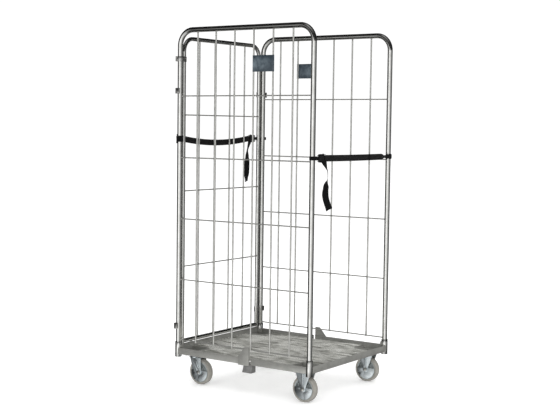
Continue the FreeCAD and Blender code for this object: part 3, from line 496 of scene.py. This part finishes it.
# ---- straps ----
STRAP_T = 2.0 * MM
STRAP_W = size_of("rear_strap_tail").x
FRONT_Z = centre_of("front_strap_hook").z
REAR_Z = centre_of("rear_strap_hook").z
BUCKLE_X0, BUCKLE_X1 = (corner[0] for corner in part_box("front_strap_buckle"))
REAR_BUCKLE_X0, REAR_BUCKLE_X1 = (corner[0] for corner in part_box("rear_strap_buckle"))
RUN_Y = -402.6 * MM             # middle of the webbing across the opening
BAR_Y = -406.3 * MM             # the buckle's bar, which the front webbing loops round
GRIPPED = 36 * MM               # webbing inside a buckle
NARROWS_FROM = 0.93             # share of the front run past which it folds in to its hook's eye
NARROWING = 0.66                # share of the width that it loses there
SAG = 20 * MM                   # of the rear webbing
SAGS_TO = 0.93                  # share of the rear run that sags; the rest lies level in the buckle
FAN = 8.0 * MM                  # how far the rear webbing's two turns spread up and down its post
UP = Vector((0, 0, 1))

# The routes of the free tails, as the CAD has them: (Y, Z) first at the buckle, down to the end.
FRONT_TAIL = [(-0.4046, 1.140), (-0.4076, 1.092), (-0.4049, 1.044), (-0.4085, 0.996), (-0.4055, 0.948),
              (-0.4087, 0.900)]
REAR_TAIL = [(0.4046, 1.211), (0.4076, 1.166), (0.4049, 1.121), (0.4083, 1.076), (0.4057, 1.031),
             (0.4085, 0.986)]
# How far the tails sway to the right of those routes, which makes them longer than the CAD's.
FRONT_SWAY = (-0.034, 0.008, 0.020, -0.008, -0.004, 0.028)
REAR_SWAY = (0.030, 0.008, 0.0, 0.004, -0.004, 0.002)


def spline_points(route):
    """The smooth line that a NURBS spline makes of a route's points."""
    curve = bpy.data.curves.new("route", "CURVE")
    curve.dimensions = "3D"
    spline = curve.splines.new("NURBS")
    spline.points.add(len(route) - 1)
    for point, place in zip(spline.points, route):
        point.co = (*place, 1.0)
    spline.order_u = 3
    spline.use_endpoint_u = True
    spline.resolution_u = 16
    holder = bpy.data.objects.new("route", curve)
    mesh = bpy.data.meshes.new_from_object(holder)
    points = [vertex.co.copy() for vertex in mesh.vertices]
    bpy.data.meshes.remove(mesh)
    bpy.data.objects.remove(holder)
    bpy.data.curves.remove(curve)
    return points


def tail(name, route, x_sway, turns, body):
    """A free end of webbing. turns are degrees from facing the opening, at the buckle and on down."""
    x_middle = centre_of(name).x
    line = spline_points([(x_middle + sway, y, z) for (y, z), sway in zip(route, x_sway)])
    last = len(line) - 1
    across = []
    for place in range(len(line)):
        share = place / last * (len(turns) - 1)
        first = min(int(share), len(turns) - 2)
        angle = math.radians(turns[first] + (turns[first + 1] - turns[first]) * ease(share - first))
        across.append(Vector((math.cos(angle), math.sin(angle), 0)))
    source = bmesh.new()
    webbing_band(source, line, across, STRAP_W, STRAP_T)
    for vertex in source.verts:
        if vertex.co.z < line[last].z + 1 * MM:
            vertex.co.z += 0.28 * (vertex.co - line[last]).dot(across[last])
    thing = piece(name + "_look", source, body, "webbing_black", (name,))


def front_webbing():
    source = bmesh.new()
    post = Vector((-POST_X, -POST_Y, FRONT_Z))
    bar = Vector((BUCKLE_X0 + 5 * MM, BAR_Y, FRONT_Z))
    around_post, around_bar = TUBE_R + 1.2 * MM, 3.5 * MM
    heading = math.degrees(math.atan2(bar.y - post.y, bar.x - post.x))
    spread = math.degrees(math.acos((around_post - around_bar) / (bar - post).length))
    loop = arc_points(post, around_post, heading + spread, heading + 360 - spread, 40)
    loop += arc_points(bar, around_bar, heading - spread, heading + spread, 12)
    webbing_band(source, loop, [UP] * len(loop), 18 * MM, STRAP_T, closed=True)
    start, end = BUCKLE_X1 - GRIPPED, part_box("front_strap_webbing")[1][0]
    line, taper = [], []
    for step in range(61):
        share = step / 60
        x = start + (end - start) * share
        line.append(Vector((x, RUN_Y, FRONT_Z - 1.5 * MM * math.sin(math.pi * share))))
        taper.append(1.0 - NARROWING * ease(max(0.0, (share - NARROWS_FROM) / (1 - NARROWS_FROM))))
    webbing_band(source, line, [UP] * len(line), STRAP_W, STRAP_T, taper=taper)
    fold = [point - Vector((0, STRAP_T, 0)) for point in line[44:58]]
    webbing_band(source, fold, [UP] * len(fold), STRAP_W * 0.98, STRAP_T, taper=taper[44:58])
    box_stitch(source, fold[1].x, fold[-3].x, fold[1].y - STRAP_T / 2, FRONT_Z, STRAP_W * 0.36)
    piece("front_webbing_look", source, "front_strap", "webbing_black", ("front_strap_webbing",))


def rear_webbing():
    """Wound twice round the left rear post, the turns fanned apart, and sagging to the buckle."""
    source = bmesh.new()
    post = Vector((-POST_X, POST_Y, REAR_Z))
    join_x = -POST_X + 46 * MM
    for sign, gap in ((1, 1.6), (-1, 3.8)):
        radius = TUBE_R + gap * MM
        turn = arc_points(post, radius, 90, 440, 56,
                          lambda share: sign * FAN * (1 - ease(min(share * 3.5, 1.0))))
        lead = []
        for step in range(12):
            share = step / 12
            lead.append(Vector((join_x + (post.x - join_x) * share,
                                -RUN_Y + (post.y + radius + RUN_Y) * ease(share),
                                REAR_Z + sign * FAN * ease(min(share * 1.6, 1.0)))))
        line = lead + turn
        webbing_band(source, line, [UP] * len(line), STRAP_W, STRAP_T)
    start, end = join_x, REAR_BUCKLE_X0 + GRIPPED
    line = []
    for step in range(65):
        share = step / 64
        x = start - 6 * MM + (end - start) * share
        drop = SAG * (1 - (2 * min(share / SAGS_TO, 1.0) - 1) ** 2)
        line.append(Vector((x, -RUN_Y, REAR_Z - drop)))
    webbing_band(source, line, [UP] * len(line), STRAP_W, STRAP_T)
    box_stitch(source, line[1].x, line[5].x, -RUN_Y + STRAP_T / 2, line[3].z, STRAP_W * 0.36)
    piece("rear_webbing_look", source, "rear_strap", "webbing_black", ("rear_strap_webbing",))


# Half the forging's height in mm, by share of the way from its eye to the tip of its claw.
HOOK_HEIGHTS = ((0.0, 8.0), (0.07, 15.0), (0.18, 12.0), (0.30, 9.0), (0.46, 13.0), (0.56, 13.0),
                (0.74, 9.0), (1.0, 5.0))


def front_hook():
    """A forged hook: a flat eye for the webbing, a waisted neck and a claw round the right front post."""
    source = bmesh.new()
    post = Vector((POST_X, -POST_Y, FRONT_Z))
    radius = TUBE_R + 3.4 * MM
    eye_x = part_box("front_strap_hook")[0][0] + 3 * MM
    neck = [Vector((eye_x + (post.x - eye_x) * step / 24, post.y - radius, FRONT_Z)) for step in range(24)]
    claw = arc_points(post, radius, -90, 0, 14)
    leg = [Vector((post.x + radius, post.y + 11.5 * MM * step / 4, FRONT_Z)) for step in range(1, 5)]
    line = neck + claw + leg
    sizes = []
    for place in range(len(line)):
        share = place / (len(line) - 1)
        later = next(step for step in range(1, len(HOOK_HEIGHTS)) if share <= HOOK_HEIGHTS[step][0])
        (near, start), (far, end) = HOOK_HEIGHTS[later - 1], HOOK_HEIGHTS[later]
        tall = start + (end - start) * ease((share - near) / (far - near))
        sizes.append((tall * MM, (2.4 - 0.7 * share) * MM))
    sweep(source, line, [UP] * len(line), round_outline(16), sizes)
    ring = arc_points(Vector((eye_x, 0, 0)), 6 * MM, 0, 345, 23)
    ring = [Vector((point.x - 5 * MM, RUN_Y - 0.2 * MM, FRONT_Z + point.y)) for point in ring]
    sweep(source, ring, [Vector((0, 1, 0))] * len(ring), round_outline(10),
          [(1.7 * MM, 1.7 * MM)] * len(ring), closed=True)
    piece("front_hook_look", source, "front_strap", "buckle_black", ("front_strap_hook",))


def buckle_details(name, body, pin, flip):
    """Domed rivet ends on the cam's pin, and grip ridges on the lever."""
    source = bmesh.new()
    low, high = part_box(name + "_buckle")
    for z in (low[2] + 1.2 * MM, high[2] - 1.2 * MM):
        ball(source, Vector((pin.x, pin.y, z)), (4.2 * MM, 4.2 * MM, 1.1 * MM), None, 3)
    piece(name + "_rivets", source, body, "buckle_black")
    ridges = bmesh.new()
    low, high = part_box(name + "_lever")
    face = low[1] if flip > 0 else high[1]
    middle = (low[2] + high[2]) / 2
    half = (high[2] - low[2]) / 2 - 3 * MM
    for step in range(5):
        x = pin.x - flip * (14 + 4 * step) * MM
        line = [Vector((x, face + flip * 0.2 * MM, middle + half * (t / 4 - 1))) for t in range(9)]
        sweep(ridges, line, [Vector((1, 0, 0))] * 9, round_outline(8), [(0.9 * MM, 0.55 * MM)] * 9)
    piece(name + "_ridges", ridges, body.replace("strap", "buckle_lever"), "buckle_black")


# ---- wheels ----
def wheel_parts(place):
    """A tyre with rounded shoulders, a mould line round its middle and a step at each side."""
    node = "wheel_tread_" + place
    centre = centre_of(node)
    half = size_of(node).x / 2
    outer = size_of(node).z / 2
    rim = outer - 11.5 * MM
    shoulder = 5.5 * MM
    face = outer - 0.3 * MM
    side = [(half - shoulder + shoulder * math.sin(math.radians(a)),
             face - shoulder + shoulder * math.cos(math.radians(a))) for a in range(0, 91, 15)]
    side += [(half, rim + 3.4 * MM), (half - 0.7 * MM, rim + 2.8 * MM), (half - 0.7 * MM, rim + 1.8 * MM),
             (half, rim + 1.2 * MM), (half, rim)]
    flash = [(0.35 * MM, face), (0.2 * MM, outer), (-0.2 * MM, outer), (-0.35 * MM, face)]
    profile = [(-x, r) for x, r in reversed(side)] + [(x, r) for x, r in reversed(flash)] + side
    source = bmesh.new()
    turned(source, centre, profile)
    piece(node + "_look", source, "wheel_" + place, "tread_grey", (node,))
    rounded("wheel_core_" + place, 0.6 * MM)


# ---- welds ----
def side_frame_welds(side, sign):
    source = bmesh.new()
    pitch = 2 * POST_Y / (UPRIGHT_COUNT + 1)
    uprights = [-POST_Y + pitch * (step + 1) for step in range(UPRIGHT_COUNT)]
    low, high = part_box("side_cross_wires_" + side)
    rise = (high[2] - low[2] - 2 * CROSS_R) / (CROSS_COUNT - 1)
    crosses = [low[2] + CROSS_R + rise * step for step in range(CROSS_COUNT)]
    upright_x, cross_x = POST_X + CROSS_R, POST_X - UPRIGHT_R
    for y in uprights:
        for z in crosses:
            wander = random.uniform(-0.5, 0.5) * MM
            ball(source, Vector((sign * (upright_x - UPRIGHT_R), y + wander, z + wander)),
                 (1.5 * MM, 3.1 * MM, 3.2 * MM))
        meets = TOP_Z - math.sqrt(TUBE_R ** 2 - CROSS_R ** 2)
        weld_ring(source, Vector((sign * upright_x, y, meets)), UP, UPRIGHT_R + 0.2 * MM, 1.3 * MM, 14)
    reach = POST_Y - math.sqrt(TUBE_R ** 2 - UPRIGHT_R ** 2)
    for z in crosses:
        for end in (-1, 1):
            weld_ring(source, Vector((sign * cross_x, end * reach, z)), Vector((0, 1, 0)),
                      CROSS_R + 0.2 * MM, 1.2 * MM, 12)
    piece("side_frame_welds_" + side, source, "side_frame_" + side, "zinc_wire")


def gate_welds():
    source = bmesh.new()
    pitch = 2 * GATE_X / (GATE_UPRIGHT_COUNT + 1)
    rise = (GATE_TOP_Z - GATE_BOTTOM_Z) / (GATE_CROSS_COUNT + 1)
    crosses = [GATE_BOTTOM_Z + rise * (step + 1) for step in range(GATE_CROSS_COUNT)]
    upright_y, cross_y = GATE_Y + CROSS_R, GATE_Y - UPRIGHT_R
    meets = math.sqrt(GATE_R ** 2 - CROSS_R ** 2)
    for step in range(GATE_UPRIGHT_COUNT):
        x = -GATE_X + pitch * (step + 1)
        for z in crosses:
            ball(source, Vector((x, upright_y - UPRIGHT_R, z)), (3.1 * MM, 1.5 * MM, 3.1 * MM))
        for z in (GATE_TOP_Z - meets, GATE_BOTTOM_Z + meets):
            weld_ring(source, Vector((x, upright_y, z)), UP, UPRIGHT_R + 0.2 * MM, 1.3 * MM, 14)
    reach = GATE_X - math.sqrt(GATE_R ** 2 - UPRIGHT_R ** 2)
    for z in crosses:
        for end in (-1, 1):
            weld_ring(source, Vector((end * reach, cross_y, z)), Vector((1, 0, 0)), CROSS_R + 0.2 * MM,
                      1.2 * MM, 12)
    for end in (-1, 1):
        for step in range(40):
            angle = 2 * math.pi * step / 40
            out, lift = GATE_R * math.sin(angle), GATE_R * math.cos(angle)
            size = random.uniform(1.2, 1.6) * MM
            ball(source, Vector((end * (GATE_X - abs(lift)), GATE_Y + out, GATE_BOTTOM_Z + lift)),
                 (size, size, size))
        for z in hook_heights():
            seam = Vector((end * (GATE_X - 3.5 * MM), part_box("gate_hooks")[1][1] - 2.2 * MM, z))
            weld_line(source, seam - UP * 12 * MM, seam + UP * 12 * MM, 1.5 * MM)
    piece("gate_welds", source, "gate", "zinc_wire")


HOOK_HALF = 13.5 * MM           # half a gate hook's height


def hook_heights():
    """The middles of the lower and the upper pair of gate hooks."""
    low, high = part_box("gate_hooks")
    return low[2] + HOOK_HALF, high[2] - HOOK_HALF


POCKET_WELD_X = 358 * MM        # where the stacking pockets meet the underside of the side rails


def base_welds():
    source = bmesh.new()
    outer_x, outer_y = POST_X + TUBE_R, POST_Y + TUBE_R
    step_in = math.sqrt(SOCKET_R ** 2 - TUBE_R ** 2)
    for sx in (-1, 1):
        for sy in (-1, 1):
            for x, y in ((POST_X - step_in, outer_y), (outer_x, POST_Y - step_in)):
                weld_line(source, Vector((sx * x, sy * y, RAIL_BOTTOM + 1 * MM)),
                          Vector((sx * x, sy * y, RAIL_TOP - 1 * MM)), 1.7 * MM)
            under_y, under_z = POST_Y - step_in, RAIL_BOTTOM + 1 * MM
            weld_line(source, Vector((sx * (outer_x - 2.4 * MM), sy * under_y, under_z)),
                      Vector((sx * (outer_x - 12 * MM), sy * (under_y - 3 * MM), under_z)), 1.4 * MM)
    for side, sx in SIDES:
        low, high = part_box("stacking_tongue_" + side)
        for y in (low[1], high[1]):
            weld_line(source, Vector((sx * outer_x, y, RAIL_BOTTOM + 1 * MM)),
                      Vector((sx * outer_x, y, RAIL_TOP - 2 * MM)), 1.6 * MM)
        low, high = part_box("stacking_pocket_" + side)
        x = sx * POCKET_WELD_X
        weld_line(source, Vector((x, low[1] + 2 * MM, RAIL_BOTTOM)),
                  Vector((x, high[1] - 2 * MM, RAIL_BOTTOM)), 1.6 * MM)
    piece("base_welds", source, "base", "base_steel")


DECK_WIRE_R = 3.0 * MM
ACROSS_PITCH = 50.0 * MM
ALONG_PITCH = 25.0 * MM
CORNER_X, CORNER_Y = 237 * MM, 271 * MM     # beyond both of these the sunk corner pans take over


def deck_welds():
    """Where the deck's wires end on the rails, and a touch of metal at their crossings."""
    source = bmesh.new()
    across_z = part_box("deck_wires_across")[1][2] - DECK_WIRE_R
    along_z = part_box("deck_wires_along")[1][2] - DECK_WIRE_R
    rows = [step * ACROSS_PITCH for step in range(-7, 8)]
    columns = [step * ALONG_PITCH for step in range(-13, 14)]
    reach_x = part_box("deck_wires_across")[1][0]
    reach_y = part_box("deck_wires_along")[1][1]
    for end in (-1, 1):
        for y in rows:
            if abs(y) < CORNER_Y:
                weld_ring(source, Vector((end * reach_x, y, across_z)), Vector((1, 0, 0)), DECK_WIRE_R,
                          1.4 * MM, 10)
        for x in columns:
            if abs(x) < CORNER_X:
                weld_ring(source, Vector((x, end * reach_y, along_z)), Vector((0, 1, 0)), DECK_WIRE_R,
                          1.4 * MM, 10)
    for x in columns:
        for y in rows:
            if abs(x) < CORNER_X or abs(y) < CORNER_Y:
                ball(source, Vector((x, y, along_z - DECK_WIRE_R)), (2.7 * MM, 2.7 * MM, 1.3 * MM), None, 1)
    piece("deck_welds", source, "base", "deck_wire")


# ---- small fittings ----
def label_borders():
    """A raised bead along the four edges of each plate."""
    for side, sign in SIDES:
        source = bmesh.new()
        low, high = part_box("label_plate_" + side)
        x = sign * (max(abs(low[0]), abs(high[0])) - 0.1 * MM)
        inset = 7 * MM
        near, far = low[1] + inset, high[1] - inset
        bottom, top = low[2] + inset, high[2] - inset
        corners = [Vector((x, y, z)) for y, z in ((near, bottom), (far, bottom), (far, top), (near, top))]
        line = []
        for first, second in zip(corners, corners[1:] + corners[:1]):
            line += [first + (second - first) * (step / 12) for step in range(12)]
        out = Vector((1, 0, 0))
        sweep(source, line, [out] * len(line), round_outline(8), [(0.45 * MM, 0.9 * MM)] * len(line),
              closed=True)
        piece("label_border_" + side, source, "side_frame_" + side, "label_plate")


# Width in mm of the rounding on the edges of pressed, cut and turned steel.
ROUNDED = {
    "rail_front": 1.6, "rail_rear": 1.6, "side_rails": 1.6, "corner_sockets": 0.7, "socket_gussets": 0.5,
    "corner_pans": 0.8, "deck_bearers": 0.6, "stacking_tongue_left": 0.8, "stacking_tongue_right": 0.8,
    "stacking_pocket_left": 0.9, "stacking_pocket_right": 0.9, "rigid_forks": 0.8, "wheel_guards_front": 0.4,
    "wheel_guards_rear_left": 0.4, "wheel_guards_rear_right": 0.4, "swivel_plates": 0.7,
    "swivel_fork_left": 0.8, "swivel_fork_right": 0.8, "castor_plate_fasteners": 0.5, "axles_front": 0.6,
    "axle_rear_left": 0.6, "axle_rear_right": 0.6, "kingpins": 0.6, "gate_hooks": 0.6,
    "gate_hinge_clip": 0.5, "rear_strap_hook": 1.0, "label_plate_left": 0.25, "label_plate_right": 0.25,
}


# ---- camera, floor and light ----
CAMERA_PLACE = (-4.7579, -3.2556, 1.2774)
CAMERA_TURN = (-55.4, 4.1, 0.75)    # degrees: yaw from straight at the rear, pitch down, and roll
SENSOR_MM, LENS_MM = 36.0, 74.8


def photo_camera():
    """The photograph's viewpoint: off the cage's left front corner, looking a little down on it."""
    yaw, pitch, roll = (math.radians(turn) for turn in CAMERA_TURN)
    ahead = Vector((-math.sin(yaw) * math.cos(pitch), math.cos(yaw) * math.cos(pitch), -math.sin(pitch)))
    right = Vector((math.cos(yaw), math.sin(yaw), 0))
    up = right.cross(ahead)
    right, up = right * math.cos(roll) + up * math.sin(roll), up * math.cos(roll) - right * math.sin(roll)
    camera = bpy.data.objects.new("camera", bpy.data.cameras.new("camera"))
    camera.data.sensor_width = SENSOR_MM
    camera.data.lens = LENS_MM
    turned_to = Matrix((right, up, -ahead)).transposed().to_4x4()
    camera.matrix_world = Matrix.Translation(CAMERA_PLACE) @ turned_to
    bpy.context.scene.collection.objects.link(camera)
    bpy.context.scene.camera = camera


def plain_floor():
    source = bmesh.new()
    bmesh.ops.create_grid(source, x_segments=1, y_segments=1, size=30.0)
    mesh = bpy.data.meshes.new("floor")
    source.to_mesh(mesh)
    source.free()
    floor = bpy.data.objects.new("floor", mesh)
    bpy.context.scene.collection.objects.link(floor)
    shade = Shader("floor", Roughness=0.9, Specular_IOR_Level=0.1)
    shade.surface.inputs["Base Color"].default_value = (0.98, 0.98, 0.98, 1.0)
    shade.surface.inputs["Emission Color"].default_value = (1.0, 1.0, 1.0, 1.0)
    shade.surface.inputs["Emission Strength"].default_value = 0.16
    mesh.materials.append(shade.material)
    floor.visible_glossy = False


def studio_world():
    """A white tent: even light for the surfaces, and for reflections dark cards between white walls."""
    world = bpy.data.worlds.new("studio")
    bpy.context.scene.world = world
    world.use_nodes = True
    nodes, links = world.node_tree.nodes, world.node_tree.links
    background = nodes["Background"]
    way = nodes.new("ShaderNodeSeparateXYZ")
    links.new(nodes.new("ShaderNodeTexCoord").outputs["Generated"], way.inputs["Vector"])
    turn = nodes.new("ShaderNodeMath")
    turn.operation = "ARCTAN2"
    links.new(way.outputs["Y"], turn.inputs[0])
    links.new(way.outputs["X"], turn.inputs[1])
    share = nodes.new("ShaderNodeMapRange")
    share.inputs["From Min"].default_value = -math.pi
    share.inputs["From Max"].default_value = math.pi
    links.new(turn.outputs["Value"], share.inputs["Value"])
    walls = nodes.new("ShaderNodeValToRGB")
    links.new(share.outputs["Result"], walls.inputs["Fac"])
    set_stops(walls, WALLS)
    height = nodes.new("ShaderNodeMapRange")
    height.inputs["From Min"].default_value = -1.0
    links.new(way.outputs["Z"], height.inputs["Value"])
    levels = nodes.new("ShaderNodeValToRGB")
    links.new(height.outputs["Result"], levels.inputs["Fac"])
    set_stops(levels, LEVELS)
    room = nodes.new("ShaderNodeVectorMath")
    room.operation = "MULTIPLY"
    links.new(walls.outputs["Color"], room.inputs[0])
    links.new(levels.outputs["Color"], room.inputs[1])
    ray = nodes.new("ShaderNodeLightPath")
    pick = nodes.new("ShaderNodeMix")
    pick.data_type = "RGBA"
    links.new(ray.outputs["Is Glossy Ray"], pick.inputs["Factor"])
    colours = [socket for socket in pick.inputs if socket.type == "RGBA"]
    colours[0].default_value = (1.06, 1.06, 1.06, 1.0)
    links.new(room.outputs["Vector"], colours[1])
    links.new([s for s in pick.outputs if s.type == "RGBA"][0], background.inputs["Color"])


# Brightness of the walls, by share of a full turn from -X through -Y and +X to +Y.
WALLS = ((0.0, 1.20), (0.06, 1.25), (0.10, 0.95), (0.16, 0.66), (0.22, 0.34), (0.30, 0.20), (0.34, 0.06),
         (0.50, 0.06), (0.60, 0.30), (0.66, 0.30), (0.69, 0.02), (0.88, 0.02), (0.92, 0.45), (0.96, 1.00),
         (1.0, 1.20))
# Brightness by height: straight down, the lit floor, the horizon, the dark cards and the ceiling.
LEVELS = ((0.0, 0.45), (0.25, 0.60), (0.34, 1.0), (0.56, 1.0), (0.59, 0.03), (0.80, 0.02), (0.90, 0.22),
          (1.0, 0.30))


def set_stops(ramp, stops):
    elements = ramp.color_ramp.elements
    while len(elements) < len(stops):
        elements.new(0.5)
    for element, (place, value) in zip(elements, stops):
        element.position = place
        element.color = (value, value, value, 1.0)


def soft_light(name, place, aim, size, power):
    light = bpy.data.lights.new(name, "AREA")
    light.shape = "SQUARE"
    light.size = size
    light.energy = power
    lamp = bpy.data.objects.new(name, light)
    lamp.location = place
    lamp.rotation_euler = (Vector(aim) - Vector(place)).to_track_quat("-Z", "Y").to_euler()
    lamp.visible_glossy = False
    bpy.context.scene.collection.objects.link(lamp)


def build_stage():
    photo_camera()
    plain_floor()
    studio_world()
    soft_light("key", (-3.2, -3.6, 4.2), (0, 0, 0.8), 2.2, 75)
    soft_light("fill", (3.5, 2.6, 3.6), (0, 0, 0.9), 2.5, 40)
    bpy.context.scene.view_settings.view_transform = "Standard"


def build_pieces():
    tail("front_strap_tail", FRONT_TAIL, FRONT_SWAY, (-20, 30, 32, -25, -52, -45), "front_strap")
    tail("rear_strap_tail", REAR_TAIL, REAR_SWAY, (0, 25, 0, -35, -50, 10), "rear_strap")
    front_webbing()
    rear_webbing()
    front_hook()
    for node, width in ROUNDED.items():
        rounded(node, width * MM)
    front_shape = drawn_in(-1, BUCKLE_X0, BUCKLE_X1, FRONT_Z)
    rear_shape = drawn_in(1, REAR_BUCKLE_X0, REAR_BUCKLE_X1, REAR_Z)
    for strap, shape in (("front_strap", front_shape), ("rear_strap", rear_shape)):
        rounded(strap + "_buckle", 0.7 * MM, reshape=shape)
        rounded(strap + "_lever", 0.8 * MM, reshape=shape)
    buckle_details("front_strap", "front_strap", Vector((BUCKLE_X1 - 15 * MM, RUN_Y - 5.7 * MM, 0)), 1)
    buckle_details("rear_strap", "rear_strap", Vector((REAR_BUCKLE_X0 + 15 * MM, -RUN_Y + 5.7 * MM, 0)), -1)
    for place in ("front_left", "front_right", "rear_left", "rear_right"):
        wheel_parts(place)
    for side, sign in SIDES:
        side_frame_welds(side, sign)
    gate_welds()
    base_welds()
    deck_welds()
    label_borders()


dress_cad_nodes()
build_stage()
build_pieces()
